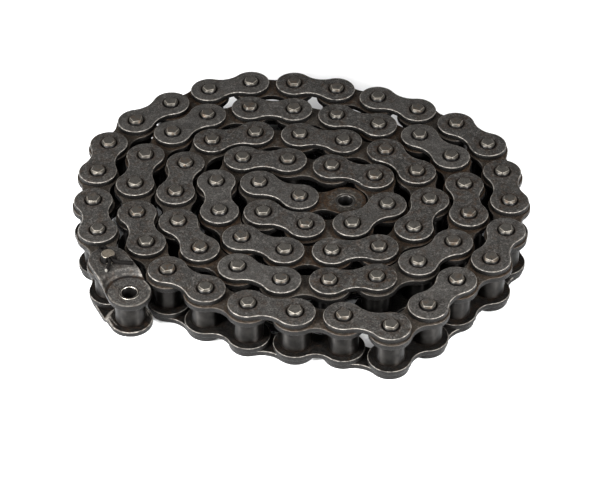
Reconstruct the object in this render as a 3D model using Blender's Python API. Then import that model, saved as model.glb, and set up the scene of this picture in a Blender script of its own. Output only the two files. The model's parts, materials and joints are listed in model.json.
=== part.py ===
"""Motorcycle drive chain, 5/8 inch pitch, rolled up into a flat spiral and lying on its side.

Lengths are in metres and +Z is up. Pin axes stand upright, the chain's lower pin ends rest on z = 0
and its plan is centred on the origin. Pins are counted from the chain's outer end, which is made
piece by piece; links further in are joined solids, one or two links each.
"""

import math

import bmesh
import bpy
import numpy as np
from mathutils import Matrix, Vector

# Chain dimensions
PITCH = 0.015875
PLATE_T = 0.00203
INNER_HALF = 0.004765  # middle of the chain to an inner plate's inside face
PLATE_GAP = 0.0002  # between an inner plate and the outer plate beside it
INNER_END_R = 0.0073
OUTER_END_R = 0.0067
INNER_WAIST = 0.0048
OUTER_WAIST = 0.0045
PIN_R = 0.002545
PIN_OVERHANG = 0.0012  # riveted pin end past its outer plate
RIVET_CHAMFER = 0.0005
BUSH_R = 0.0035
BUSH_BORE_R = 0.00264
ROLLER_R = 0.00508
ROLLER_BORE_R = 0.00361
ROLLER_PLAY = 0.0002  # each end of a roller to its plate
PRESS_GAP = 0.00006  # keeps pressed-together parts from sharing faces

# Connecting link at the outer end
LONG_PIN_OVERHANG = 0.0026
FLAT_DEPTH = 0.0007
COTTER_HOLE_R = 0.0011
COTTER_WIRE_R = 0.00048
COTTER_HEIGHT = 0.0013  # cotter's middle above the upper plate
COTTER_PLAY = 0.0006  # pin's side to the cotter's eye, and to where its legs open out
COTTER_TIPS = ((0.0030, -0.0020), (0.0030, 0.0046))  # leg tips, along and across from there
EYE_R = 0.0011

# The coil: a spiral whose turns are a little oval, with one corner, folded up at its inner end.
# Guide lengths are in pitches, and the guide's angle runs down, which is clockwise from above.
GUIDE_START = -2.8958
GUIDE_CENTRE = Vector((0.187, 1.524))
GUIDE_R = 5.014
GUIDE_GROWTH = 0.1439
OVAL, OVAL_TURN = 0.2527, 0.2262
THREE_SIDED, THREE_SIDED_TURN = 0.0956, 0.1756
CORNER, CORNER_AT, CORNER_WIDTH = 0.8, -7.4051, 0.1775
GUIDE_PINS = 64
GUIDE_STEP = 0.05  # radians searched at a time for the next pin
OUTER_FOLDS = (12, 2)  # degrees, bends of the last links past the guide's outer end
INNER_FOLDS = (-32, -65, -11, -8, -55, -60, -43, -30, -58, -126, 33)
TURN_SPACING = 0.943  # least distance between pins that no link joins, in pitches
SETTLE_ROUNDS = 4000
FREE_ROUNDS = 1500  # of these, the last ones don't pull towards the guide
GUIDE_PULL = 0.02

# Which links are made how, counted from the outer end: even links are outer ones
BENCH_LINKS = 3
SINGLE_LINKS = 15  # links before the core, each a moving body
CIRCLE = 2 * math.pi

OUTER_LEVEL = INNER_HALF + PLATE_T + PLATE_GAP
PLATES_HALF = OUTER_LEVEL + PLATE_T
PIN_HALF = PLATES_HALF + PIN_OVERHANG


# Layout


def guide_point(angle):
    """A point of the guide spiral, in pitches."""
    radius = GUIDE_R + GUIDE_GROWTH * angle
    radius += OVAL * math.cos(2 * (angle + OVAL_TURN))
    radius += THREE_SIDED * math.cos(3 * (angle - THREE_SIDED_TURN))
    radius += CORNER * math.exp(-(((angle - CORNER_AT) / CORNER_WIDTH) ** 2))
    return GUIDE_CENTRE + radius * Vector((math.cos(angle), math.sin(angle)))


def pins_on_guide():
    """Pins one pitch apart along the guide, outermost first."""
    angle = GUIDE_START
    pins = [guide_point(angle)]
    while len(pins) < GUIDE_PINS:
        short, far = 0.0, GUIDE_STEP
        while (guide_point(angle - far) - pins[-1]).length < 1:
            short, far = far, far + GUIDE_STEP
        while far - short > 1e-7:
            middle = (short + far) / 2
            if (guide_point(angle - middle) - pins[-1]).length < 1:
                short = middle
            else:
                far = middle
        angle -= far
        pins.append(guide_point(angle))
    return pins


def walk_on(pins, folds):
    """Goes on past the last pin, one pitch for each bend angle."""
    pins = list(pins)
    for fold in folds:
        heading = pins[-1] - pins[-2]
        pins.append(pins[-1] + Matrix.Rotation(math.radians(fold), 2) @ heading)
    return pins


def settle(guide):
    """Moves pins so that joined ones are one pitch apart and no two turns run into each other."""
    guide = np.array(guide)
    pins = guide.copy()
    first, second = np.triu_indices(len(pins), 2)
    for step in range(SETTLE_ROUNDS):
        if step < SETTLE_ROUNDS - FREE_ROUNDS:
            pins += GUIDE_PULL * (guide - pins)
        along = pins[1:] - pins[:-1]
        length = np.linalg.norm(along, axis=1)[:, None]
        shift = (length - 1) / length * along / 2
        pins[:-1] += shift
        pins[1:] -= shift
        apart = pins[second] - pins[first]
        distance = np.linalg.norm(apart, axis=1)
        close = distance < TURN_SPACING
        push = (TURN_SPACING / distance[close] - 1)[:, None] * apart[close] / 4
        np.subtract.at(pins, first[close], push)
        np.add.at(pins, second[close], push)
    return pins


def chain_pins():
    """Every joint's plan position in metres, outer end first, with the coil centred."""
    coil = walk_on(pins_on_guide(), INNER_FOLDS)
    outer_end = walk_on([coil[1], coil[0]], OUTER_FOLDS)[2:]
    pins = settle(outer_end[::-1] + coil) * PITCH
    middle = (pins.min(axis=0) + pins.max(axis=0)) / 2
    return [Vector((x, y, PIN_HALF)) for x, y in (pins - middle).tolist()]


def link_frame(pins, link):
    """The frame of a link: origin on its inner-side pin at mid height, +X along the link outwards."""
    along = pins[link] - pins[link + 1]
    turn = Matrix.Rotation(math.atan2(along.y, along.x), 4, "Z")
    return Matrix.Translation(pins[link + 1]) @ turn


# Shapes, as closed meshes in a link's frame


def arc(centre, radius, start, end, steps):
    """Points of a round stretch of outline."""
    angles = [start + (end - start) * i / steps for i in range(steps + 1)]
    return [(centre[0] + radius * math.cos(a), centre[1] + radius * math.sin(a)) for a in angles]


def plate_outline(end_r, waist, end_steps, waist_steps):
    """A link plate's plan: round ends about both pins and a hollow waist between them."""
    half = PITCH / 2
    hollow_r = (half**2 + waist**2 - end_r**2) / (2 * (end_r - waist))
    lean = math.atan2(waist + hollow_r, half)
    near_end = arc((0, 0), end_r, lean, CIRCLE - lean, end_steps)
    far_end = arc((PITCH, 0), end_r, lean - math.pi, math.pi - lean, end_steps)
    lower = arc((half, -waist - hollow_r), hollow_r, math.pi - lean, lean, waist_steps)
    upper = arc((half, waist + hollow_r), hollow_r, -lean, lean - math.pi, waist_steps)
    return near_end + lower[1:-1] + far_end + upper[1:-1]


def add_prism(mesh, outline, low, high, frame):
    """Adds a flat solid with a plan outline between two heights."""
    ring = [mesh.verts.new(frame @ Vector((x, y, low))) for x, y in outline]
    base = mesh.faces.new(ring)
    lifted = bmesh.ops.extrude_face_region(mesh, geom=[base], use_keep_orig=True)["geom"]
    top = [item for item in lifted if isinstance(item, bmesh.types.BMVert)]
    bmesh.ops.translate(mesh, verts=top, vec=(0, 0, high - low))


def add_plate_pair(mesh, outline, level, frame=Matrix()):
    """Adds the upper and the lower plate of a link."""
    add_prism(mesh, outline, level, level + PLATE_T, frame)
    add_prism(mesh, outline, -level - PLATE_T, -level, frame)


def add_turned(mesh, profile, sides, centre=(0, 0, 0), ring=False):
    """Adds a solid turned about a pin axis from (radius, height) points; a ring's profile is a loop."""
    points = [mesh.verts.new((centre[0] + radius, centre[1], height)) for radius, height in profile]
    pairs = list(zip(points, points[1:]))
    if ring:
        pairs.append((points[-1], points[0]))
    edges = [mesh.edges.new(pair) for pair in pairs]
    spun = {"cent": centre, "axis": (0, 0, 1), "angle": CIRCLE, "steps": sides, "use_merge": True}
    bmesh.ops.spin(mesh, geom=points + edges, **spun)


def rod(radius, half_length):
    """Profile of a plain round bar."""
    return [(0, -half_length), (radius, -half_length), (radius, half_length), (0, half_length)]


def pin_profile(top):
    """Profile of a pin with chamfered ends, its lower end riveted."""
    narrow = PIN_R - RIVET_CHAMFER
    lower = [(0, -PIN_HALF), (narrow, -PIN_HALF), (PIN_R, -PIN_HALF + RIVET_CHAMFER)]
    return lower + [(PIN_R, top - RIVET_CHAMFER), (narrow, top), (0, top)]


def tube(inner_r, outer_r, half_length):
    """Profile loop of a plain tube."""
    low, high = -half_length, half_length
    return [(inner_r, low), (outer_r, low), (outer_r, high), (inner_r, high)]


# Objects


def clear_scene():
    for item in list(bpy.data.objects):
        bpy.data.objects.remove(item, do_unlink=True)


def new_collection(name):
    made = bpy.data.collections.new(name)
    bpy.context.scene.collection.children.link(made)
    return made


def steel(name, colour, roughness, metallic=0.9):
    """A Principled material."""
    made = bpy.data.materials.new(name)
    made.use_nodes = True
    shader = made.node_tree.nodes["Principled BSDF"]
    shader.inputs["Base Color"].default_value = (*colour, 1)
    shader.inputs["Roughness"].default_value = roughness
    shader.inputs["Metallic"].default_value = metallic
    return made


def to_object(mesh, name, frame, collection):
    """Makes an object of a bmesh, with its faces turned outwards."""
    bmesh.ops.remove_doubles(mesh, verts=mesh.verts, dist=1e-6)
    bmesh.ops.recalc_face_normals(mesh, faces=mesh.faces)
    data = bpy.data.meshes.new(name)
    mesh.to_mesh(data)
    mesh.free()
    made = bpy.data.objects.new(name, data)
    collection.objects.link(made)
    made.matrix_world = frame
    return made


class Chain:
    """Collections, materials and pin positions that the builders below share."""

    def __init__(self):
        self.pins = chain_pins()
        self.parts = new_collection("drive_chain")
        self.cutters = new_collection("drive_chain_cutters")
        self.plate_steel = steel("plate_steel", (0.042, 0.039, 0.036), 0.4)
        self.inner_steel = steel("inner_plate_steel", (0.034, 0.03, 0.026), 0.44)
        self.pin_steel = steel("pin_steel", (0.07, 0.065, 0.058), 0.36)
        self.roller_steel = steel("roller_steel", (0.016, 0.015, 0.014), 0.38)
        self.link_steel = steel("link_steel", (0.038, 0.035, 0.032), 0.42)
        self.cotter_steel = steel("cotter_steel", (0.02, 0.0185, 0.017), 0.38)

    def part(self, mesh, name, frame, material):
        made = to_object(mesh, name, frame, self.parts)
        made.data.materials.append(material)
        return made

    def tool(self, mesh, name, frame):
        made = to_object(mesh, name, frame, self.cutters)
        made.display_type = "WIRE"
        made.hide_render = True
        return made


def combine(target, tool, operation):
    """Puts a Boolean modifier on a part."""
    step = target.modifiers.new(tool.name, "BOOLEAN")
    step.operation = operation
    step.solver = "EXACT"
    step.object = tool


def turned_part(chain, name, profile, sides, frame, material, ring=False):
    mesh = bmesh.new()
    add_turned(mesh, profile, sides, ring=ring)
    return chain.part(mesh, name, frame, material)


def turned_tool(chain, name, profile, sides, frame, centres):
    mesh = bmesh.new()
    for centre in centres:
        add_turned(mesh, profile, sides, centre)
    return chain.tool(mesh, name, frame)


# The outer end, piece by piece

BENCH_SIDES = 16
BENCH_END_STEPS = 10
BENCH_WAIST_STEPS = 4
COTTER_STEPS = 8


def bench_plate(chain, name, outline, low, hole_r, frame, material):
    """A loose link plate with two pin or bush holes."""
    mesh = bmesh.new()
    add_prism(mesh, outline, low, low + PLATE_T, Matrix())
    made = chain.part(mesh, name, frame, material)
    ends = [(0, 0, 0), (PITCH, 0, 0)]
    holes = turned_tool(chain, name + "_holes", rod(hole_r, PIN_HALF), BENCH_SIDES, frame, ends)
    combine(made, holes, "DIFFERENCE")


def bench_roller(chain, name, pin):
    shape = tube(ROLLER_BORE_R, ROLLER_R, INNER_HALF - ROLLER_PLAY)
    frame = Matrix.Translation(pin)
    return turned_part(chain, name, shape, BENCH_SIDES, frame, chain.roller_steel, ring=True)


def bench_bush(chain, name, pin, angle):
    frame = Matrix.Translation(pin) @ Matrix.Rotation(angle, 4, "Z")
    shape = tube(BUSH_BORE_R, BUSH_R, INNER_HALF + PLATE_T)
    return turned_part(chain, name, shape, BENCH_SIDES, frame, chain.pin_steel, ring=True)


def plan_angle(frame):
    return frame.to_euler().z


def bench_inner_link(chain, link, number):
    """An inner link: two plates, two bushes pressed into them and a roller on each bush."""
    frame = link_frame(chain.pins, link)
    outline = plate_outline(INNER_END_R, INNER_WAIST, BENCH_END_STEPS, BENCH_WAIST_STEPS)
    for side, low in (("upper", INNER_HALF), ("lower", -INNER_HALF - PLATE_T)):
        name = f"inner_plate_{number:02d}_{side}"
        bench_plate(chain, name, outline, low, BUSH_R + PRESS_GAP, frame, chain.inner_steel)
    for end, pin in (("a", chain.pins[link]), ("b", chain.pins[link + 1])):
        bench_bush(chain, f"bush_{number:02d}_{end}", pin, plan_angle(frame))
        bench_roller(chain, f"roller_{number:02d}_{end}", pin)


def bench_outer_link(chain, link, number):
    """An outer link: two plates and the two riveted pins that hold them."""
    frame = link_frame(chain.pins, link)
    outline = plate_outline(OUTER_END_R, OUTER_WAIST, BENCH_END_STEPS, BENCH_WAIST_STEPS)
    for side, low in (("upper", OUTER_LEVEL), ("lower", -PLATES_HALF)):
        name = f"outer_plate_{number:02d}_{side}"
        bench_plate(chain, name, outline, low, PIN_R + PRESS_GAP, frame, chain.plate_steel)
    for end, pin in (("a", chain.pins[link]), ("b", chain.pins[link + 1])):
        turned = Matrix.Translation(pin) @ Matrix.Rotation(plan_angle(frame), 4, "Z")
        shape = pin_profile(PIN_HALF)
        turned_part(chain, f"rivet_pin_{number:02d}_{end}", shape, BENCH_SIDES, turned, chain.pin_steel)


# The offset link: straight-sided cranked plates, outside at the pin end and inside at the bush end

STEP_START, STEP_END = 0.49 * PITCH, 0.62 * PITCH


def cranked_level(along):
    """Height of a cranked plate's inside face: outer level at its pin, inner level at its bush."""
    share = min(max((along - STEP_START) / (STEP_END - STEP_START), 0), 1)
    return OUTER_LEVEL + (INNER_HALF - OUTER_LEVEL) * share


def cranked_plate(chain, name, side, frame):
    """One cranked plate, laid out in strips across the link and then thickened."""
    near = arc((0, 0), OUTER_END_R, math.pi, math.pi / 2, BENCH_END_STEPS // 2)
    far = arc((PITCH, 0), INNER_END_R, math.pi / 2, 0, BENCH_END_STEPS // 2)
    widening = (INNER_END_R - OUTER_END_R) / PITCH
    sides = [(along, OUTER_END_R + widening * along) for along in (STEP_START, STEP_END)]
    half_outline = near + sides + far
    mesh = bmesh.new()
    sections = []
    for along, across in half_outline:
        low = cranked_level(along)
        ends = [(y, z) for y in (across, -across) for z in (low, low + PLATE_T)]
        sections.append([mesh.verts.new((along, y, side * z)) for y, z in ends])
    for here, beyond in zip(sections, sections[1:]):
        for a, b in ((0, 1), (1, 3), (3, 2), (2, 0)):
            mesh.faces.new((here[a], here[b], beyond[b], beyond[a]))
    made = chain.part(mesh, name, frame, chain.plate_steel)
    for end, radius, centre in (("pin", PIN_R, (0, 0, 0)), ("bush", BUSH_R, (PITCH, 0, 0))):
        shape = rod(radius + PRESS_GAP, 2 * PIN_HALF)
        hole = turned_tool(chain, f"{name}_{end}_hole", shape, BENCH_SIDES, frame, [centre])
        combine(made, hole, "DIFFERENCE")


def connecting_pin(chain, frame):
    """The slip-fit pin: riveted below, with a flat and a cross hole at its free upper end."""
    shape = pin_profile(PLATES_HALF + LONG_PIN_OVERHANG)
    made = turned_part(chain, "connecting_pin", shape, BENCH_SIDES, frame, chain.pin_steel)
    mesh = bmesh.new()
    bmesh.ops.create_cube(mesh, size=2 * PIN_R)
    flat_x = 2 * PIN_R - FLAT_DEPTH
    bmesh.ops.translate(mesh, verts=mesh.verts, vec=(flat_x, 0, PLATES_HALF + PRESS_GAP + PIN_R))
    flat = chain.tool(mesh, "connecting_pin_flat", frame)
    bore = bmesh.new()
    add_turned(bore, rod(COTTER_HOLE_R, 2 * PIN_R), COTTER_STEPS)
    lying = Matrix.Translation((0, 0, PLATES_HALF + COTTER_HEIGHT)) @ Matrix.Rotation(math.pi / 2, 4, "Y")
    hole = chain.tool(bore, "connecting_pin_hole", frame @ lying)
    combine(made, flat, "DIFFERENCE")
    combine(made, hole, "DIFFERENCE")


def cotter_pin(chain, frame):
    """A split pin through the cross hole: eye on one side, two legs opened on the other."""
    leg_y = COTTER_WIRE_R - PRESS_GAP / 2
    reach = PIN_R + COTTER_PLAY
    eye = arc((-reach - EYE_R - COTTER_PLAY, 0), EYE_R, -math.pi / 3, -CIRCLE + math.pi / 3, COTTER_STEPS)
    tips = [(reach + along, across) for along, across in COTTER_TIPS]
    line = [tips[0], (reach, -leg_y), (-reach, -leg_y), *eye, (-reach, leg_y), (reach, leg_y), tips[1]]
    curve = bpy.data.curves.new("cotter_pin", "CURVE")
    curve.dimensions = "3D"
    curve.bevel_depth = COTTER_WIRE_R
    curve.bevel_resolution = 0
    curve.use_fill_caps = True
    wire = curve.splines.new("POLY")
    wire.points.add(len(line) - 1)
    for point, (x, y) in zip(wire.points, line):
        point.co = (x, y, 0, 1)
    made = bpy.data.objects.new("cotter_pin", curve)
    curve.materials.append(chain.cotter_steel)
    chain.parts.objects.link(made)
    made.matrix_world = frame @ Matrix.Translation((0, 0, PLATES_HALF + COTTER_HEIGHT))


def offset_link(chain):
    """The end link: two cranked plates, a bush and roller, the connecting pin and its cotter."""
    frame = link_frame(chain.pins, 0)
    for name, side in (("offset_plate_upper", 1), ("offset_plate_lower", -1)):
        cranked_plate(chain, name, side, frame)
    bench_bush(chain, "offset_bush", chain.pins[0], plan_angle(frame))
    bench_roller(chain, "offset_roller", chain.pins[0])
    connecting_pin(chain, frame)
    cotter_pin(chain, frame)


# Links that are one solid

ROLLER_SIDES = 8
PIN_SIDES = 6
SINGLE_END_STEPS = 6
CORE_END_STEPS = 5
JOINED_WAIST_STEPS = 2
JOINED_BORE_R = 0.00298
WAIST_CUT = 0.0003  # what the coarse hollow would add to a waist
JOINED_ROLLER = rod(ROLLER_R, INNER_HALF + PLATE_T / 2)


def joined_outline(end_r, waist, end_steps):
    """A plate outline with few points."""
    return plate_outline(end_r, waist - WAIST_CUT, end_steps, JOINED_WAIST_STEPS)


def joined_inner_link(chain, name, link, end_steps=SINGLE_END_STEPS):
    """An inner link as one solid: two plates and two bored rollers."""
    frame = link_frame(chain.pins, link)
    ends = [(0, 0, 0), (PITCH, 0, 0)]
    mesh = bmesh.new()
    add_plate_pair(mesh, joined_outline(INNER_END_R, INNER_WAIST, end_steps), INNER_HALF)
    made = chain.part(mesh, name, frame, chain.link_steel)
    rollers = turned_tool(chain, name + "_rollers", JOINED_ROLLER, ROLLER_SIDES, frame, ends)
    bores = turned_tool(chain, name + "_bores", rod(JOINED_BORE_R, PIN_HALF), PIN_SIDES, frame, ends)
    combine(made, rollers, "UNION")
    combine(made, bores, "DIFFERENCE")


def joined_outer_link(chain, name, link):
    """An outer link as one solid: two plates and two pins."""
    frame = link_frame(chain.pins, link)
    mesh = bmesh.new()
    outline = joined_outline(OUTER_END_R, OUTER_WAIST, SINGLE_END_STEPS)
    add_plate_pair(mesh, outline, OUTER_LEVEL)
    made = chain.part(mesh, name, frame, chain.link_steel)
    ends = [(0, 0, 0), (PITCH, 0, 0)]
    pins = turned_tool(chain, name + "_pins", rod(PIN_R, PIN_HALF), PIN_SIDES, frame, ends)
    combine(made, pins, "UNION")


def coil_links(chain, name, link):
    """An inner link and the outer link after it, joined at the pin that they share."""
    frame = link_frame(chain.pins, link + 1)
    to_inner = frame.inverted() @ link_frame(chain.pins, link)
    far_end = to_inner @ Vector((PITCH, 0, 0))
    mesh = bmesh.new()
    inner = joined_outline(INNER_END_R, INNER_WAIST, CORE_END_STEPS)
    add_plate_pair(mesh, inner, INNER_HALF, to_inner)
    outer = joined_outline(OUTER_END_R, OUTER_WAIST, CORE_END_STEPS)
    add_plate_pair(mesh, outer, OUTER_LEVEL)
    made = chain.part(mesh, name, frame, chain.link_steel)
    ends = [(0, 0, 0), (PITCH, 0, 0)]
    pins = turned_tool(chain, name + "_pins", rod(PIN_R, PIN_HALF), PIN_SIDES, frame, ends)
    places = [(PITCH, 0, 0), far_end]
    rollers = turned_tool(chain, name + "_rollers", JOINED_ROLLER, ROLLER_SIDES, frame, places)
    bore = turned_tool(chain, name + "_bore", rod(JOINED_BORE_R, PIN_HALF), PIN_SIDES, frame, [far_end])
    combine(made, rollers, "UNION")
    combine(made, pins, "UNION")
    combine(made, bore, "DIFFERENCE")


def main():
    clear_scene()
    chain = Chain()
    offset_link(chain)
    bench_inner_link(chain, 1, 1)
    bench_outer_link(chain, 2, 1)
    for link in range(BENCH_LINKS, SINGLE_LINKS, 2):
        number = (link + 1) // 2
        joined_inner_link(chain, f"inner_link_{number:02d}", link)
        joined_outer_link(chain, f"outer_link_{number:02d}", link + 1)
    last_link = len(chain.pins) - 2
    for link in range(SINGLE_LINKS, last_link, 2):
        coil_links(chain, f"coil_links_{(link + 1) // 2:02d}", link)
    joined_inner_link(chain, "inner_end_link", last_link, CORE_END_STEPS)


main()
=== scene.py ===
"""Looks of the rolled-up drive chain: every plate, pin, bush and roller is a piece of its own."""

import json
import math
import random
from collections import namedtuple

import bmesh
import bpy
from mathutils import Matrix, Vector

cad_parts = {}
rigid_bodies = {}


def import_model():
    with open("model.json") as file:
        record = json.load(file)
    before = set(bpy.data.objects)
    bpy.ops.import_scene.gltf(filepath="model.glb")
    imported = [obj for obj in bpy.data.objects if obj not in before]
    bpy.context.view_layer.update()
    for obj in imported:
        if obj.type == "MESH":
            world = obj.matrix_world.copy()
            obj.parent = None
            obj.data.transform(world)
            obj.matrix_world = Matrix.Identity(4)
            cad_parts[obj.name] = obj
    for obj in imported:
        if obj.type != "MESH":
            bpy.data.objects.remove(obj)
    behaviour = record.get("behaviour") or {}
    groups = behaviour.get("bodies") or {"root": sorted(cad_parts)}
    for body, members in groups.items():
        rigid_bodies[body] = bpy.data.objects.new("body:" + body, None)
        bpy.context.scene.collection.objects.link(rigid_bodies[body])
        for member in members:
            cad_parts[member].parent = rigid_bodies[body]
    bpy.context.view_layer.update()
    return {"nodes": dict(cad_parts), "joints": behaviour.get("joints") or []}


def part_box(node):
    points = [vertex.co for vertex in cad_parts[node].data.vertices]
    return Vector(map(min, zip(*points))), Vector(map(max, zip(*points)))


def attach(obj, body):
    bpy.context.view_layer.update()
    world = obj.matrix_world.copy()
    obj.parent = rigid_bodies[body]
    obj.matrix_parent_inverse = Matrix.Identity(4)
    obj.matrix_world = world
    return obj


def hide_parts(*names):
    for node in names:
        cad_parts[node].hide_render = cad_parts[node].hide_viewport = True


for leftover in list(bpy.data.objects):
    bpy.data.objects.remove(leftover, do_unlink=True)

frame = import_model()

# Sizes in metres. Pins stand along +Z; heights of link parts count from the chain's mid height.
PITCH = 0.015875
FIRST_CORE_LINK = 15

# Plates: thickness, inside faces of the inner and outer ones, end radii, waists and rolled edges
PLATE_T = 0.00203
INNER_HALF = 0.004765
OUTER_LEVEL = INNER_HALF + PLATE_T + 0.0002
PLATES_HALF = OUTER_LEVEL + PLATE_T
INNER_END_R, INNER_WAIST, INNER_EDGE = 0.0073, 0.0048, 0.0003
OUTER_END_R, OUTER_WAIST, OUTER_EDGE = 0.0067, 0.0045, 0.0004

# Pins and the funnels around them in the outer plates
PIN_R = 0.002545
PIN_HALF = PLATES_HALF + 0.0012
PIN_HOLE_R = 0.00262
SINK_R, SINK_DEPTH = 0.00315, 0.0009

# Bushes and rollers
BUSH_R, BUSH_BORE_R = 0.0035, 0.00264
BUSH_HALF = INNER_HALF + PLATE_T - 0.00005
BUSH_CHAMFER = 0.00018
BUSH_HOLE_R = 0.00354
ROLLER_R, ROLLER_BORE_R = 0.00508, 0.00362
ROLLER_HALF = INNER_HALF - 0.0002
ROLLER_FILLET = 0.00045

# Offset link: reach of its step from the bush, sinks around both holes, top of its pin, its cotter
CRANK_NEAR, CRANK_FAR = 0.47 * PITCH, 0.63 * PITCH
CRANK_SINKS = ((PIN_HOLE_R, 0.0030, (0, 0, 0)), (BUSH_HOLE_R, 0.0037, (PITCH, 0, 0)))
CRANK_SINK_DEPTH = 0.0003
LONG_TOP = PLATES_HALF + 0.0026
COTTER_Z = PLATES_HALF + 0.0013
COTTER_HALF_WIDTH, COTTER_HALF_HEIGHT = 0.00052, 0.0008
COTTER_HOLE_R, COTTER_EYE_R = 0.0011, 0.0011
SHORT_TIP = (PIN_R + 0.0031, -0.0034, -0.0005)

CIRCLE = 2 * math.pi
WELD = 1e-6
random.seed(11)


# Where the frame puts each pin


def cap_centres(node):
    """Centres of the two pin ends on top of a CAD node."""
    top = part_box(node)[1].z
    caps = [v.co for v in frame["nodes"][node].data.vertices if v.co.z > top - 1e-5]
    near = {tuple(round(x, 6) for x in c) for c in caps if (c - caps[0]).length < PITCH / 2}
    far = {tuple(round(x, 6) for x in c) for c in caps if (c - caps[0]).length >= PITCH / 2}
    return [sum(map(Vector, group), Vector()) / len(group) for group in (near, far)]


def pin_places():
    """Every joint of the chain at mid height, from the outer end to the inner one."""
    at = {joint["name"]: Vector(joint["pos_m"]) for joint in frame["joints"]}
    pins = [at["offset_roller_spin"]]
    pins += [at[f"pin_{k:02d}_pivot"] for k in range(1, FIRST_CORE_LINK + 1)]
    for node in sorted(n for n in frame["nodes"] if n.startswith("coil_links")):
        ends = [Vector((c.x, c.y, pins[0].z)) for c in cap_centres(node)]
        pins += sorted(ends, key=lambda c: abs((c - pins[-1]).length - PITCH))
    low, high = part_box("inner_end_link")
    middle = (low + high) / 2
    last = 2 * middle - pins[-1]
    return pins + [Vector((last.x, last.y, pins[0].z))]


PINS = pin_places()
LAST_LINK = len(PINS) - 2


def link_frame(link):
    """Origin on a link's inner-side pin at mid height, +X along the link outwards."""
    along = PINS[link] - PINS[link + 1]
    turn = Matrix.Rotation(math.atan2(along.y, along.x), 4, "Z")
    return Matrix.Translation(PINS[link + 1]) @ turn


def link_body(link):
    """The CAD body that a link moves with."""
    if link >= FIRST_CORE_LINK:
        return "coil_core"
    if link == 0:
        return "offset_link"
    kind = "inner" if link % 2 else "outer"
    return f"{kind}_link_{(link + 1) // 2:02d}"


# Mesh tools


def arc(centre, radius, start, end, steps):
    """Points of a plane arc, both ends included."""
    angles = [start + (end - start) * i / steps for i in range(steps + 1)]
    return [(centre[0] + radius * math.cos(a), centre[1] + radius * math.sin(a)) for a in angles]


def waisted_outline(end_r, waist, end_steps=30, waist_steps=12):
    """Plan of a link plate: two round ends and a hollow waist."""
    half = PITCH / 2
    hollow_r = (half**2 + waist**2 - end_r**2) / (2 * (end_r - waist))
    lean = math.atan2(waist + hollow_r, half)
    near_end = arc((0, 0), end_r, lean, CIRCLE - lean, end_steps)
    far_end = arc((PITCH, 0), end_r, lean - math.pi, math.pi - lean, end_steps)
    lower = arc((half, -waist - hollow_r), hollow_r, math.pi - lean, lean, waist_steps)
    upper = arc((half, waist + hollow_r), hollow_r, -lean, lean - math.pi, waist_steps)
    return near_end + lower[1:-1] + far_end + upper[1:-1]


def straight_outline(near_r, far_r, steps=24):
    """Plan of a cranked plate: two round ends joined by straight sides."""
    lean = math.acos((near_r - far_r) / PITCH)
    near_end = arc((0, 0), near_r, lean, CIRCLE - lean, steps)
    return near_end + arc((PITCH, 0), far_r, -lean, lean, steps)


def prism(outline, low, high):
    """A plan outline raised from one height to another."""
    mesh = bmesh.new()
    base = mesh.faces.new([mesh.verts.new((x, y, low)) for x, y in outline])
    lifted = bmesh.ops.extrude_face_region(mesh, geom=[base], use_keep_orig=True)["geom"]
    top = [item for item in lifted if isinstance(item, bmesh.types.BMVert)]
    bmesh.ops.translate(mesh, verts=top, vec=(0, 0, high - low))
    bmesh.ops.recalc_face_normals(mesh, faces=mesh.faces)
    return mesh


def turned(profile, sides, centre=(0, 0, 0), ring=False, mesh=None):
    """A closed solid turned about a pin axis from (radius, height) points."""
    mesh = mesh or bmesh.new()
    points = [mesh.verts.new((centre[0] + radius, centre[1], height)) for radius, height in profile]
    pairs = list(zip(points, points[1:]))
    if ring:
        pairs.append((points[-1], points[0]))
    edges = [mesh.edges.new(pair) for pair in pairs]
    spun = {"cent": centre, "axis": (0, 0, 1), "angle": CIRCLE, "steps": sides, "use_merge": True}
    bmesh.ops.spin(mesh, geom=points + edges, **spun)
    return mesh


def rounded(radius, height, fillet, steps=3):
    """Profile points of a rounded outside corner at (radius, height), from below to above."""
    side = 1 if height > 0 else -1
    quarter = [math.pi / 2 * i / steps for i in range(steps + 1)]
    if side < 0:
        quarter.reverse()
    centre = (radius - fillet, height - side * fillet)
    return [(centre[0] + fillet * math.cos(a), centre[1] + side * fillet * math.sin(a)) for a in quarter]


def bridge(mesh, lower, upper):
    """Faces between two rings of as many points."""
    for i in range(len(lower)):
        j = (i + 1) % len(lower)
        mesh.faces.new((lower[i], lower[j], upper[j], upper[i]))


def close_up(mesh):
    """Welds doubled points and turns every face outwards."""
    bmesh.ops.remove_doubles(mesh, verts=mesh.verts, dist=WELD)
    bmesh.ops.recalc_face_normals(mesh, faces=mesh.faces)


def mesh_data(mesh, name):
    """Mesh data made from an edit mesh, which it frees."""
    data = bpy.data.meshes.new(name)
    mesh.to_mesh(data)
    mesh.free()
    return data


def finish_mesh(mesh, name, flat_above=0.999):
    """Mesh data with level faces kept flat and the others smooth; all smooth above 1."""
    close_up(mesh)
    for face in mesh.faces:
        face.smooth = abs(face.normal.z) < flat_above
    return mesh_data(mesh, name)


def new_object(name, data):
    """An object in the scene."""
    made = bpy.data.objects.new(name, data)
    bpy.context.scene.collection.objects.link(made)
    return made


def scratch_object(mesh, name):
    """A helper object for modifiers to work on."""
    close_up(mesh)
    return new_object(name, mesh_data(mesh, name))


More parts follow.
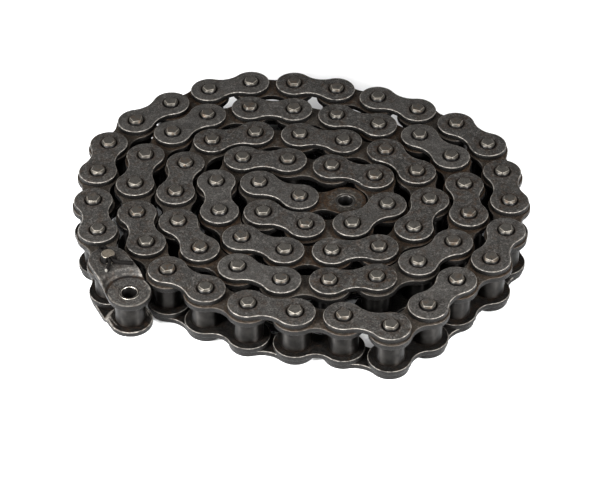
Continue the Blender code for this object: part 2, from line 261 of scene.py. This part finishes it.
def carved(mesh, cutter, edge, segments=3):
    """A mesh less a cutter, with its outline edges rolled over."""
    solid, tool = scratch_object(mesh, "scratch"), scratch_object(cutter, "scratch_tool")
    rolled = solid.modifiers.new("rolled", "BEVEL")
    rolled.width, rolled.segments = edge, segments
    rolled.limit_method, rolled.angle_limit = "ANGLE", math.radians(60)
    cut = solid.modifiers.new("holes", "BOOLEAN")
    cut.operation, cut.solver, cut.object = "DIFFERENCE", "EXACT", tool
    graph = bpy.context.evaluated_depsgraph_get()
    result = bmesh.new()
    result.from_object(solid, graph)
    for used in (solid, tool):
        bpy.data.objects.remove(used, do_unlink=True)
    return result


# Shapes of the pieces


def hole_cutter(hole_r, sink_r, sink_depth, low, high, sunk_side):
    """Cuts both holes of a plate, each opening out on the plate's outside face."""
    mesh = bmesh.new()
    over = 0.001
    if sunk_side > 0:
        profile = [(0, low - over), (hole_r, low - over), (hole_r, high - sink_depth)]
        profile += [(sink_r, high), (sink_r, high + over), (0, high + over)]
    else:
        profile = [(0, low - over), (sink_r, low - over), (sink_r, low)]
        profile += [(hole_r, low + sink_depth), (hole_r, high + over), (0, high + over)]
    for centre in ((0, 0, 0), (PITCH, 0, 0)):
        turned(profile, 32, centre, mesh=mesh)
    return mesh


def plate_mesh(name, outline, level, side, hole, edge):
    """A flat link plate above (side 1) or below (side -1) the rollers."""
    low, high = sorted((side * level, side * (level + PLATE_T)))
    cutter = hole_cutter(*hole, low, high, side)
    return finish_mesh(carved(prism(outline, low, high), cutter, edge), name)


def crank_drop(x, y, share_shift):
    """How far a cranked plate has stepped down at a point: none at its pin, all at its bush."""
    reach = math.hypot(x - PITCH, y)
    share = (reach - CRANK_NEAR + share_shift) / (CRANK_FAR - CRANK_NEAR)
    share = min(max(share, 0), 1)
    return (OUTER_LEVEL - INNER_HALF) * (1 - share * share * (3 - 2 * share))


def cranked_cutter(high, side):
    """Cuts the pin's and the bush's hole of a cranked plate, each with a small sink."""
    cutter, beyond = bmesh.new(), 0.02
    for radius, sink, centre in CRANK_SINKS:
        profile = [(0, -beyond), (radius, -beyond), (radius, high - CRANK_SINK_DEPTH)]
        profile += [(sink, high), (sink, beyond), (0, beyond)]
        if side < 0:
            profile = [(r, -z) for r, z in profile]
        turned(profile, 32, centre, mesh=cutter)
    return cutter


def cranked_mesh(name, side):
    """The offset link's plate: wide at the pin, then stepped down around the bush's seat."""
    low, high = sorted((side * OUTER_LEVEL, side * (OUTER_LEVEL + PLATE_T)))
    flat = prism(straight_outline(OUTER_END_R, INNER_END_R), low, high)
    mesh = carved(flat, cranked_cutter(high, side), 0.0003)
    along = [((x * 0.0004, 0, 0), (1, 0, 0)) for x in range(12, 30)]
    across = [((0, y * 0.0007, 0), (0, 1, 0)) for y in range(-9, 10)]
    for place, normal in along + across:
        everything = mesh.verts[:] + mesh.edges[:] + mesh.faces[:]
        bmesh.ops.bisect_plane(mesh, geom=everything, plane_co=place, plane_no=normal, dist=1e-7)
    middle = (low + high) / 2
    for vert in mesh.verts:
        inside = (vert.co.z - middle) * side < 0
        shift = 0.0006 if inside else 0
        vert.co.z -= side * crank_drop(vert.co.x, vert.co.y, shift)
    return finish_mesh(mesh, name, 0.9999)


def roller_mesh():
    """A tube with rounded outside corners."""
    outside = rounded(ROLLER_R, -ROLLER_HALF, ROLLER_FILLET)
    outside += rounded(ROLLER_R, ROLLER_HALF, ROLLER_FILLET)
    inside = [(ROLLER_BORE_R, ROLLER_HALF), (ROLLER_BORE_R, -ROLLER_HALF)]
    return finish_mesh(turned(outside + inside, 40, ring=True), "roller")


def bush_mesh():
    """A tube with every corner chamfered."""
    near, wide, mouth = BUSH_HALF - BUSH_CHAMFER, BUSH_R - BUSH_CHAMFER, BUSH_BORE_R + BUSH_CHAMFER
    outside = [(wide, -BUSH_HALF), (BUSH_R, -near), (BUSH_R, near), (wide, BUSH_HALF)]
    inside = [(mouth, BUSH_HALF), (BUSH_BORE_R, near), (BUSH_BORE_R, -near), (mouth, -BUSH_HALF)]
    return finish_mesh(turned(outside + inside, 32, ring=True), "bush")


def staked_end(mesh, below, height, side, facets, phase):
    """Closes a pin's open end ring with a staked head: flat facets around a flat top."""
    sides = len(below)
    wedge = CIRCLE / len(facets)
    radii = []
    for i in range(sides):
        angle = (CIRCLE * i / sides + phase) % CIRCLE
        off = angle % wedge - wedge / 2
        radii.append(facets[int(angle // wedge)] / math.cos(off))
    rings = [below]
    for share, drop in ((1.0, 0.00012), (0.95, 0.00003), (0.55, 0.0)):
        ring = []
        for i, radius in enumerate(radii):
            angle = CIRCLE * i / sides
            x, y = share * radius * math.cos(angle), share * radius * math.sin(angle)
            ring.append(mesh.verts.new((x, y, height - side * drop)))
        rings.append(ring)
    for lower, upper in zip(rings, rings[1:]):
        bridge(mesh, lower, upper)
    mesh.faces.new(rings[-1])


def rivet_mesh(name, seed):
    """A riveted pin, both ends staked to uneven facets."""
    rng = random.Random(seed)
    mesh = bmesh.new()
    sides = 36
    angles = [CIRCLE * i / sides for i in range(sides)]
    ends = []
    for side in (-1, 1):
        height = side * (PIN_HALF - rng.uniform(0.00062, 0.00075))
        ends.append([mesh.verts.new((PIN_R * math.cos(a), PIN_R * math.sin(a), height)) for a in angles])
    bridge(mesh, *ends)
    for side, ring in zip((-1, 1), ends):
        facets = [PIN_R * rng.uniform(0.70, 0.79) for _ in range(rng.choice((5, 6, 6)))]
        staked_end(mesh, ring, side * PIN_HALF, side, facets, rng.uniform(0, CIRCLE))
    return finish_mesh(mesh, name, 0.99)


def connecting_pin_mesh():
    """The slip-fit pin: flat on the bush side of its upper end, cross hole for the cotter."""
    hair, reach = 0.00001, 0.006
    profile = [(0, -PIN_HALF), (PIN_R - 0.00035, -PIN_HALF), (PIN_R, -PIN_HALF + 0.0004)]
    profile += [(PIN_R, LONG_TOP - 0.0022)] + rounded(PIN_R - 0.0003, LONG_TOP, 0.00022)
    solid = turned(profile + [(0, LONG_TOP)], 40)
    cutter = bmesh.new()
    bmesh.ops.create_cube(cutter, size=2 * PIN_R)
    shift = (2 * PIN_R - 0.0008, 0, PLATES_HALF + 0.00006 + PIN_R)
    bmesh.ops.translate(cutter, verts=cutter.verts, vec=shift)
    flatted = carved(solid, cutter, hair, 1)
    bore = turned([(0, -reach), (COTTER_HOLE_R, -reach), (COTTER_HOLE_R, reach), (0, reach)], 20)
    lying = Matrix.Translation((0, 0, COTTER_Z)) @ Matrix.Rotation(math.pi / 2, 4, "Y")
    bmesh.ops.transform(bore, matrix=lying, verts=bore.verts)
    return finish_mesh(carved(flatted, bore, hair, 1), "connecting_pin", 0.99)


def cotter_mesh():
    """A split pin: round eye, two legs side by side, then opened out unevenly onto the plate."""
    leg_y, reach = COTTER_HALF_WIDTH + 0.00002, PIN_R + 0.0001
    eye_x = -reach - COTTER_EYE_R - 0.0003
    mouth = math.pi / 4
    short_leg = [SHORT_TIP, (reach + 0.0010, -0.0013, -0.0001)]
    long_leg = [(reach + 0.0007, 0.0009, 0), (reach + 0.0018, 0.0021, -0.0002)]
    long_leg += [(reach + 0.0039, 0.0058, -0.0004)]
    path = short_leg + [(reach, -leg_y, 0), (0, -leg_y, 0), (-reach, -leg_y, 0)]
    path += [(x, y, 0) for x, y in arc((eye_x, 0), COTTER_EYE_R, -mouth, mouth - CIRCLE, 14)]
    path += [(-reach, leg_y, 0), (0, leg_y, 0), (reach, leg_y, 0)] + long_leg
    return wire_mesh([Vector(p) for p in path], COTTER_HALF_WIDTH, COTTER_HALF_HEIGHT, "cotter_pin")


def wire_mesh(path, half_width, half_height, name, sides=16):
    """An oval wire along a path, with rounded tips."""
    mesh = bmesh.new()
    up = Vector((0, 0, 1))
    tip_share, tip_reach = 0.55, 0.6
    stations = [(path[0], path[1] - path[0], tip_share, -tip_reach)]
    for i, point in enumerate(path):
        before, after = path[max(i - 1, 0)], path[min(i + 1, len(path) - 1)]
        stations.append((point, after - before, 1.0, 0))
    stations.append((path[-1], path[-1] - path[-2], tip_share, tip_reach))
    angles = [CIRCLE * i / sides for i in range(sides)]
    rings = []
    for point, heading, share, out in stations:
        ahead = heading.normalized()
        across = ahead.cross(up).normalized()
        lift = across.cross(ahead)
        centre = point + ahead * out * half_width
        wide, tall = half_width * share * across, half_height * share * lift
        rings.append([mesh.verts.new(centre + math.cos(a) * wide + math.sin(a) * tall) for a in angles])
    for here, beyond in zip(rings, rings[1:]):
        bridge(mesh, here, beyond)
    mesh.faces.new(rings[0])
    mesh.faces.new(rings[-1])
    return finish_mesh(mesh, name, 2)


# Materials


class Paint:
    """A node tree under construction, with short ways to add its nodes."""

    def __init__(self, name):
        self.material = bpy.data.materials.new(name)
        self.material.use_nodes = True
        self.tree = self.material.node_tree
        self.shader = self.tree.nodes["Principled BSDF"]
        self.place = self.tree.nodes.new("ShaderNodeTexCoord").outputs["Object"]
        self.chance = self.tree.nodes.new("ShaderNodeObjectInfo").outputs["Random"]
        self.axes = self.split(self.place)

    def link(self, source, socket):
        if isinstance(source, (int, float)):
            socket.default_value = source
        else:
            self.tree.links.new(source, socket)

    def split(self, vector):
        """The X, Y and Z of a vector."""
        node = self.tree.nodes.new("ShaderNodeSeparateXYZ")
        self.tree.links.new(vector, node.inputs[0])
        return node.outputs

    def math(self, operation, a, b=0.0, clamp=False):
        node = self.tree.nodes.new("ShaderNodeMath")
        node.operation, node.use_clamp = operation, clamp
        self.link(a, node.inputs[0])
        self.link(b, node.inputs[1])
        return node.outputs[0]

    def times(self, a, b):
        return self.math("MULTIPLY", a, b)

    def shifted_place(self):
        """Object coordinates moved by a different amount on each piece."""
        shift = self.tree.nodes.new("ShaderNodeCombineXYZ")
        for axis, amount in enumerate((1.7, 3.1, 2.3)):
            self.link(self.times(self.chance, amount), shift.inputs[axis])
        add = self.tree.nodes.new("ShaderNodeVectorMath")
        self.tree.links.new(self.place, add.inputs[0])
        self.tree.links.new(shift.outputs[0], add.inputs[1])
        return add.outputs[0]

    def noise(self, size, detail=3.0, roughness=0.6):
        """Noise whose features are about this many metres across."""
        node = self.tree.nodes.new("ShaderNodeTexNoise")
        node.inputs["Scale"].default_value = 1 / size
        node.inputs["Detail"].default_value = detail
        node.inputs["Roughness"].default_value = roughness
        self.tree.links.new(self.shifted_place(), node.inputs["Vector"])
        return node.outputs["Fac"]

    def remap(self, value, low, high, to_low=0.0, to_high=1.0):
        """Carries one span of values over to another, and holds at its ends."""
        node = self.tree.nodes.new("ShaderNodeMapRange")
        node.clamp = True
        self.link(value, node.inputs["Value"])
        ends = (low, high, to_low, to_high)
        for socket, number in zip(("From Min", "From Max", "To Min", "To Max"), ends):
            node.inputs[socket].default_value = number
        return node.outputs["Result"]

    def band(self, value, start, full, fading, end):
        """Rises from start to full, and falls again from fading to end."""
        return self.times(self.remap(value, start, full), self.remap(value, fading, end, 1.0, 0.0))

    def mix(self, share, first, second):
        """The first colour at share 0, the second at share 1."""
        node = self.tree.nodes.new("ShaderNodeMix")
        node.data_type = "RGBA"
        self.link(share, node.inputs["Factor"])
        for value, socket in ((first, node.inputs["A"]), (second, node.inputs["B"])):
            if isinstance(value, tuple):
                socket.default_value = (*value, 1)
            else:
                self.tree.links.new(value, socket)
        return node.outputs["Result"]

    def facing(self):
        """How squarely a face looks along the pins: 1 on flats, 0 on edges that stand upright."""
        shape = self.tree.nodes.new("ShaderNodeNewGeometry")
        return self.math("ABSOLUTE", self.split(shape.outputs["True Normal"])["Z"])

    def height(self):
        """Distance from the piece's mid height."""
        return self.math("ABSOLUTE", self.axes["Z"])

    def plan_length(self, along):
        """Length in plan of an offset of this much along the link, and of the place's Y across it."""
        across = self.times(self.axes["Y"], self.axes["Y"])
        return self.math("SQRT", self.math("ADD", across, self.times(along, along)))

    def distance_to(self, x):
        """Distance in plan from the pin axis at x along the link."""
        return self.plan_length(self.math("SUBTRACT", self.axes["X"], x))

    def distance_to_middle_line(self):
        """Distance in plan from the straight line between both pin axes."""
        nearest = self.remap(self.axes["X"], 0, PITCH, 0, PITCH)
        return self.plan_length(self.math("SUBTRACT", self.axes["X"], nearest))

    def bump(self, height, strength, distance):
        node = self.tree.nodes.new("ShaderNodeBump")
        node.inputs["Strength"].default_value = strength
        node.inputs["Distance"].default_value = distance
        self.tree.links.new(height, node.inputs["Height"])
        self.tree.links.new(node.outputs["Normal"], self.shader.inputs["Normal"])

    def finish(self, colour, roughness, metallic, specular=0.5):
        self.link(colour, self.shader.inputs["Base Color"])
        self.link(roughness, self.shader.inputs["Roughness"])
        self.link(metallic, self.shader.inputs["Metallic"])
        self.shader.inputs["Specular IOR Level"].default_value = specular
        return self.material


# Near black: the cotter's own oily colour, and painted shade on upright faces, in countersinks and bores,
# and along the offset plate's step.
OIL_AND_SHADE_BLACK = (0.0035, 0.0032, 0.003)
RUST = (0.040, 0.022, 0.011)
DEEP_RUST = (0.012, 0.007, 0.004)
PLATE_GREY = (0.044, 0.0415, 0.0385)
# Bright colour of rolled plate edges and of the offset plate's bright lines: partly wear, partly painted
# highlight.
WORN_RIM_HIGHLIGHT = (0.22, 0.203, 0.18)
SPECULAR = 0.1


def shade_of(colour, factor):
    return tuple(factor * channel for channel in colour)


Oxide = namedtuple("Oxide", "colour metal level fine grain cloud blotch")


def oxide(paint, flat, metallic=0.4):
    """Blackened flats with fine pits and grain rubbed bright, and near black painted as shade on faces that
    stand upright.
    """
    fine = paint.noise(0.00026, 3, 0.7)
    grain = paint.noise(0.0007, 4, 0.7)
    cloud = paint.noise(0.0045, 3, 0.55)
    blotch = paint.noise(0.0016, 5, 0.65)
    level = paint.remap(paint.facing(), 0.30, 0.75)
    own = paint.mix(paint.chance, shade_of(flat, 0.72), shade_of(flat, 1.25))
    mottled = paint.mix(paint.remap(cloud, 0.33, 0.67, 0.45, 0.0), own, shade_of(flat, 0.3))
    rubbed = paint.times(paint.remap(grain, 0.47, 0.60), paint.remap(blotch, 0.38, 0.58, 0.1, 1.0))
    lit = paint.mix(rubbed, mottled, shade_of(flat, 2.5))
    pitted = paint.mix(paint.remap(fine, 0.40, 0.50, 0.95, 0.0), lit, shade_of(flat, 0.05))
    # Faces that stand upright get near black: painted shade.
    colour = paint.mix(level, OIL_AND_SHADE_BLACK, pitted)
    return Oxide(colour, paint.times(level, metallic), level, fine, grain, cloud, blotch)


def stained(paint, body, steel, near_pin, band, amount):
    """Brown stain in a ring around the pins and in patches; returns the colour and the stain mask."""
    wobble = paint.times(paint.remap(steel.blotch, 0.3, 0.7, -1, 1), 0.0009)
    edge = paint.math("ADD", near_pin, wobble)
    ring = paint.band(edge, band[0], band[0] + 0.0008, band[1], band[1] + 0.0016)
    patch = paint.remap(paint.noise(0.0026, 6, 0.72), 0.50, 0.62)
    stain = paint.math("MULTIPLY", paint.math("MAXIMUM", ring, patch), amount, clamp=True)
    stain = paint.times(stain, paint.remap(paint.chance, 0, 1, 1.0, 0.25))
    stain = paint.times(stain, steel.level)
    rust = paint.mix(paint.remap(steel.grain, 0.4, 0.6), DEEP_RUST, RUST)
    return paint.mix(stain, body, rust), stain


def plate_steel(name, flat, rim_highlight, rust_amount, stain_band):
    """A flat link plate: bright on its rolled edge, partly wear and partly painted highlight; near black in
    the countersinks around its pins, oil and painted shade.
    """
    paint = Paint(name)
    steel = oxide(paint, flat)
    # Bevels between flat and upright faces get the bright colour: painted highlight, broken up like wear.
    on_rim = paint.band(paint.facing(), 0.30, 0.62, 0.88, 0.99)
    wear_and_highlight = paint.times(on_rim, paint.remap(steel.blotch, 0.36, 0.60, 0.05, 1.0))
    body = paint.mix(wear_and_highlight, steel.colour, rim_highlight)
    # Countersinks around the pins painted near black: oil and painted shade in the hollow.
    near_pin = paint.math("MINIMUM", paint.distance_to(0), paint.distance_to(PITCH))
    body = paint.mix(paint.remap(near_pin, SINK_R, SINK_R + 0.0002, 0.9, 0.0), body, OIL_AND_SHADE_BLACK)
    colour, stain = stained(paint, body, steel, near_pin, stain_band, rust_amount)
    smear = paint.remap(steel.cloud, 0.3, 0.7, 0.30, 0.44)
    rough = paint.math("ADD", smear, paint.remap(stain, 0, 1, 0, 0.25))
    relief = paint.math("ADD", steel.grain, paint.times(steel.fine, 0.5))
    paint.bump(paint.math("ADD", relief, paint.times(steel.blotch, 0.8)), 1.0, 0.00026)
    return paint.finish(colour, rough, steel.metal, SPECULAR)


def cranked_steel():
    """The offset plate: a bright rolled edge, partly wear and partly painted highlight, and a step around
    the bush with a faint painted sheen near its top, painted shade on its face and along its base, and a
    thin painted highlight just above the base.
    """
    paint = Paint("cranked_plate_steel")
    steel = oxide(paint, PLATE_GREY)
    from_bush = paint.distance_to(PITCH)

    def ring(edge, *offsets):
        return paint.band(from_bush, *(edge + offset for offset in offsets))

    # Bright rolled edge and a faint band near the top of the step: painted highlight and painted sheen,
    # broken up like wear.
    rim_highlight = paint.remap(paint.distance_to_middle_line(), OUTER_END_R - 0.0004, OUTER_END_R)
    rim_highlight = paint.times(rim_highlight, paint.remap(paint.facing(), 0.2, 0.5))
    brow_sheen = ring(CRANK_FAR, -0.0009, -0.0003, 0.0001, 0.0008)
    wear_and_highlight = paint.math("MAXIMUM", paint.times(rim_highlight, 0.6), paint.times(brow_sheen, 0.12))
    wear_and_highlight = paint.times(wear_and_highlight, paint.remap(steel.blotch, 0.36, 0.60, 0.1, 1.0))
    body = paint.mix(wear_and_highlight, steel.colour, WORN_RIM_HIGHLIGHT)
    # The sloping face of the step is darkened towards near black: painted shade.
    slope_shade = paint.band(from_bush, CRANK_NEAR, CRANK_NEAR + 0.0008, CRANK_FAR - 0.0010, CRANK_FAR - 0.0002)
    body = paint.mix(paint.times(slope_shade, 0.45), body, OIL_AND_SHADE_BLACK)
    # A thin bright line just above the base of the step: painted highlight.
    ridge_highlight = ring(CRANK_NEAR, 0.0005, 0.0008, 0.0009, 0.0013)
    ridge_highlight = paint.times(ridge_highlight, paint.remap(steel.blotch, 0.42, 0.56))
    body = paint.mix(paint.times(ridge_highlight, 0.16), body, WORN_RIM_HIGHLIGHT)
    # A dark line along the base of the step: painted shade.
    foot_shade = ring(CRANK_NEAR, -0.0004, -0.0003, 0.0004, 0.0006)
    body = paint.mix(foot_shade, body, OIL_AND_SHADE_BLACK)
    metal = paint.times(steel.metal, paint.math("SUBTRACT", 1, foot_shade))
    colour, stain = stained(paint, body, steel, paint.distance_to(0), (0, 0.0030), 0.5)
    smear = paint.remap(steel.cloud, 0.3, 0.7, 0.36, 0.50)
    rough = paint.math("ADD", smear, paint.remap(stain, 0, 1, 0, 0.2))
    paint.bump(paint.math("ADD", steel.grain, paint.times(steel.fine, 0.5)), 0.9, 0.00016)
    return paint.finish(colour, rough, metal, SPECULAR)


def cotter_steel():
    """Oily black wire with fine scratches, lighter at the cut tip of the short leg: bare steel with a
    painted highlight.
    """
    paint = Paint("cotter_steel")
    grain = paint.noise(0.0003, 4, 0.65)
    oily = paint.mix(paint.remap(grain, 0.42, 0.62), OIL_AND_SHADE_BLACK, shade_of(OIL_AND_SHADE_BLACK, 2))
    past = paint.math("SUBTRACT", paint.axes["X"], paint.axes["Y"])
    tip = SHORT_TIP[0] - SHORT_TIP[1]
    # Lighter at the short leg's cut tip: bare steel and painted highlight.
    colour = paint.mix(paint.remap(past, tip - 0.0002, tip + 0.0003), oily, (0.11, 0.104, 0.094))
    paint.bump(grain, 0.3, 0.00006)
    return paint.finish(colour, paint.remap(grain, 0.3, 0.7, 0.5, 0.65), 0.0, 0.005)


def worn_steel(name, flat, corner, tip, rough, metallic):
    """Pins and bushes: ends bare with wear, a painted highlight on their chamfered corners with painted
    shade lower down, and near black painted as shade on upright sides and in bores.
    """
    paint = Paint(name)
    grain = paint.noise(0.0004, 4, 0.65)
    cloud = paint.noise(0.0016, 3, 0.6)
    facing = paint.facing()
    level = paint.remap(facing, 0.15, 0.40)
    # Chamfers take the corner colour as painted highlight, darkened as painted shade where they drop below
    # the given tip height.
    at_tip = paint.remap(paint.height(), tip - 0.00020, tip - 0.00012)
    bare = paint.mix(paint.remap(cloud, 0.3, 0.7), shade_of(flat, 0.6), flat)
    pitted = paint.mix(paint.remap(grain, 0.36, 0.48), shade_of(flat, 0.3), bare)
    chamfer_highlight_and_shade = paint.mix(at_tip, shade_of(corner, 0.22), corner)
    bevelled = paint.mix(paint.remap(facing, 0.90, 0.97), chamfer_highlight_and_shade, pitted)
    # Upright sides and bores painted near black: painted shade.
    colour = paint.mix(level, OIL_AND_SHADE_BLACK, bevelled)
    brown = paint.times(paint.remap(cloud, 0.50, 0.62), paint.remap(paint.chance, 0.3, 1, 0, 0.6))
    colour = paint.mix(paint.times(brown, level), colour, RUST)
    paint.bump(grain, 0.6, 0.00010)
    return paint.finish(colour, paint.remap(cloud, 0.3, 0.7, *rough), paint.times(level, metallic), SPECULAR)


def roller_steel():
    """Rollers: turned all round, dark with oil, polished by the sprocket, browned near their ends."""
    paint = Paint("roller_steel")
    smear = paint.noise(0.003, 4, 0.6)
    grain = paint.noise(0.0004, 3, 0.6)
    colour = paint.mix(paint.remap(smear, 0.35, 0.65), (0.005, 0.0046, 0.0043), (0.016, 0.0148, 0.0136))
    end = paint.remap(paint.height(), ROLLER_HALF - 0.0016, ROLLER_HALF)
    colour = paint.mix(paint.times(end, 0.55), colour, DEEP_RUST)
    turning = paint.tree.nodes.new("ShaderNodeTangent")
    turning.direction_type, turning.axis = "RADIAL", "Z"
    paint.tree.links.new(turning.outputs[0], paint.shader.inputs["Tangent"])
    paint.shader.inputs["Anisotropic"].default_value = 0.85
    paint.shader.inputs["Anisotropic Rotation"].default_value = 0.25
    paint.bump(grain, 0.15, 0.00004)
    return paint.finish(colour, paint.remap(smear, 0.3, 0.7, 0.34, 0.44), 0.9)


UPPER_OUTER_STEEL = plate_steel("outer_plate_steel", PLATE_GREY, WORN_RIM_HIGHLIGHT, 0.6, (0, 0.0028))
UPPER_INNER_STEEL = plate_steel(
    "inner_plate_steel", (0.040, 0.036, 0.031), (0.09, 0.082, 0.072), 0.85, (0.0058, 0.0072)
)
# Lower plates: the same steel painted much darker as shade beneath the chain, with a painted highlight on
# their rolled edges.
LOWER_SHADED_STEEL = plate_steel(
    "lower_plate_shaded_steel", (0.008, 0.0075, 0.007), (0.20, 0.185, 0.165), 0.5, (0, 0.0040)
)
PLATE_STEEL = {
    "upper": {"outer": UPPER_OUTER_STEEL, "inner": UPPER_INNER_STEEL},
    "lower": {"outer": LOWER_SHADED_STEEL, "inner": LOWER_SHADED_STEEL},
}
CRANKED_STEEL = cranked_steel()
# In each, the second colour given is the painted highlight on the chamfered corners.
PIN_STEEL = worn_steel(
    "pin_steel", (0.064, 0.0595, 0.053), (0.16, 0.145, 0.123), PIN_HALF, (0.30, 0.45), 0.5
)
BUSH_STEEL = worn_steel(
    "bush_steel", (0.055, 0.052, 0.048), (0.34, 0.315, 0.275), 0, (0.25, 0.4), 0.8
)
DULL_BUSH_STEEL = worn_steel("dull_bush_steel", PLATE_GREY, (0.06, 0.056, 0.05), 0, (0.3, 0.45), 0.7)
LONG_PIN_STEEL = worn_steel(
    "connecting_pin_steel", (0.20, 0.172, 0.135), (0.24, 0.215, 0.18), LONG_TOP, (0.3, 0.45), 0.7
)
COTTER_STEEL = cotter_steel()
ROLLER_STEEL = roller_steel()


# Placing the pieces

PIN_HOLE = (PIN_HOLE_R, SINK_R, SINK_DEPTH)
BUSH_HOLE = (BUSH_HOLE_R, BUSH_HOLE_R + 0.0002, 0.0002)
SIDES = (("upper", 1), ("lower", -1))
OUTER_PLAN = waisted_outline(OUTER_END_R, OUTER_WAIST)
INNER_PLAN = waisted_outline(INNER_END_R, INNER_WAIST)
OUTER_PLATES = {
    side: plate_mesh(f"outer_plate_{side}", OUTER_PLAN, OUTER_LEVEL, way, PIN_HOLE, OUTER_EDGE)
    for side, way in SIDES
}
INNER_PLATES = {
    side: plate_mesh(f"inner_plate_{side}", INNER_PLAN, INNER_HALF, way, BUSH_HOLE, INNER_EDGE)
    for side, way in SIDES
}
ROLLER = roller_mesh()
BUSH = bush_mesh()
RIVETS = [rivet_mesh(f"rivet_pin_{seed}", seed) for seed in range(8)]


def add_piece(data, name, at, body, material, nodes):
    """Puts a piece of the chain in place, hangs it on the body it moves with and hides the CAD nodes it
    stands for.
    """
    made = new_object(name, data)
    made.matrix_world = at
    if not data.materials:
        data.materials.append(material)
    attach(made, body)
    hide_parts(*nodes)


def upright(place, angle=0.0):
    """On a pin's axis, turned about it."""
    return Matrix.Translation(place) @ Matrix.Rotation(angle, 4, "Z")


def nodes_for(link, part):
    """CAD nodes that a piece of this link stands for."""
    if link == LAST_LINK:
        return ["inner_end_link"]
    if link >= FIRST_CORE_LINK:
        pair = (link - FIRST_CORE_LINK) // 2 + 8
        return [f"coil_links_{pair:02d}"]
    if link > 2:
        return [link_body(link)]
    return [part]


def bush_and_roller(link, number, end, place):
    """A bush of an inner link with its roller, which spins on its own in the first link."""
    body = link_body(link)
    nodes = nodes_for(link, f"bush_{number:02d}_{end}")
    add_piece(BUSH, f"bush_{number:02d}_{end}_steel", upright(place), body, DULL_BUSH_STEEL, nodes)
    roller_body = f"roller_{number:02d}_{end}_body" if link == 1 else body
    nodes = nodes_for(link, f"roller_{number:02d}_{end}")
    turn = random.uniform(0, CIRCLE)
    name = f"roller_{number:02d}_{end}_steel"
    add_piece(ROLLER, name, upright(place, turn), roller_body, ROLLER_STEEL, nodes)


def link_plates(kind, link, number, plates):
    """The upper and lower plate of an inner or outer link."""
    at, body = link_frame(link), link_body(link)
    for side, _ in SIDES:
        name = f"{kind}_plate_{number:02d}_{side}"
        steel, nodes = PLATE_STEEL[side][kind], nodes_for(link, name)
        add_piece(plates[side], name + "_steel", at, body, steel, nodes)


def inner_link(link, number):
    """Two plates pressed onto two bushes, with a roller on each."""
    link_plates("inner", link, number, INNER_PLATES)
    bush_and_roller(link, number, "a", PINS[link])
    bush_and_roller(link, number, "b", PINS[link + 1])


def outer_link(link, number):
    """Two plates held by two riveted pins."""
    link_plates("outer", link, number, OUTER_PLATES)
    for end, place in (("a", PINS[link]), ("b", PINS[link + 1])):
        name = f"rivet_pin_{number:02d}_{end}"
        shape = RIVETS[random.randrange(len(RIVETS))]
        turn = upright(place, random.uniform(0, CIRCLE))
        nodes = nodes_for(link, name)
        add_piece(shape, name + "_steel", turn, link_body(link), PIN_STEEL, nodes)


def offset_link():
    """The cranked link at the outer end, with its bush, roller, connecting pin and cotter."""
    at, body = link_frame(0), "offset_link"
    for side, way in SIDES:
        name = f"offset_plate_{side}"
        steel = CRANKED_STEEL if way > 0 else LOWER_SHADED_STEEL
        add_piece(cranked_mesh(name, way), name + "_steel", at, body, steel, [name])
    bush_at = upright(PINS[0])
    add_piece(bush_mesh(), "offset_bush_steel", bush_at, body, BUSH_STEEL, ["offset_bush"])
    spinning, nodes = "offset_roller_body", ["offset_roller"]
    add_piece(ROLLER, "offset_roller_steel", bush_at, spinning, ROLLER_STEEL, nodes)
    pin, nodes = connecting_pin_mesh(), ["connecting_pin"]
    add_piece(pin, "connecting_pin_steel", at, body, LONG_PIN_STEEL, nodes)
    at_hole = at @ Matrix.Translation((0, 0, COTTER_Z))
    add_piece(cotter_mesh(), "cotter_pin_steel", at_hole, body, COTTER_STEEL, ["cotter_pin"])


offset_link()
for link in range(1, LAST_LINK + 1):
    if link % 2:
        inner_link(link, (link + 1) // 2)
    else:
        outer_link(link, link // 2)


# Studio

CAMERA_TARGET = Vector((-0.000478, -0.024651, 2 * PIN_HALF))
CAMERA_ELEVATION = 0.7134
CAMERA_DISTANCE = 46.332 * PITCH
CAMERA_LENS, CAMERA_SENSOR = 131.39, 36
WORLD_STRENGTH = 0.28


def floor():
    """A plain matt white floor."""
    mesh = bmesh.new()
    bmesh.ops.create_grid(mesh, x_segments=1, y_segments=1, size=3)
    made = new_object("studio_floor", mesh_data(mesh, "studio_floor"))
    paint = Paint("studio_white")
    shade = paint.mix(paint.noise(0.2), (0.92, 0.92, 0.92), (0.94, 0.94, 0.94))
    made.data.materials.append(paint.finish(shade, 0.9, 0.0, 0.1))


def area_light(name, place, size, power):
    """A soft box that shines from its place to the middle of the chain."""
    data = bpy.data.lights.new(name, "AREA")
    data.shape, data.energy = "RECTANGLE", power
    data.size, data.size_y = size
    made = new_object(name, data)
    made.location = place
    made.rotation_euler = (-Vector(place)).to_track_quat("-Z", "Y").to_euler()


def camera():
    """Looks from the front and 41 degrees up, from about 0.74 m."""
    data = bpy.data.cameras.new("camera")
    data.lens, data.sensor_width = CAMERA_LENS, CAMERA_SENSOR
    made = new_object("camera", data)
    back = Vector((0, -math.cos(CAMERA_ELEVATION), math.sin(CAMERA_ELEVATION)))
    made.location = CAMERA_TARGET + CAMERA_DISTANCE * back
    made.rotation_euler = (math.pi / 2 - CAMERA_ELEVATION, 0, 0)
    bpy.context.scene.camera = made


def studio():
    """Floor, one broad box overhead, two near boxes in front, two low strips and an even white sky."""
    floor()
    area_light("top_box", (0.0, -0.2, 0.8), (1.2, 0.8), 4.1)
    area_light("left_box", (-0.24, -0.24, 0.19), (0.10, 0.16), 3.6)
    area_light("right_box", (0.23, -0.27, 0.17), (0.10, 0.16), 3.3)
    area_light("left_strip", (-0.70, -0.45, 0.12), (0.08, 0.22), 14)
    area_light("right_strip", (0.60, -0.60, 0.12), (0.08, 0.22), 5)
    world = bpy.data.worlds.new("studio_world")
    world.use_nodes = True
    background = world.node_tree.nodes["Background"]
    background.inputs["Color"].default_value = (1, 1, 1, 1)
    background.inputs["Strength"].default_value = WORLD_STRENGTH
    bpy.context.scene.world = world
    bpy.context.scene.view_settings.view_transform = "Standard"


camera()
studio()
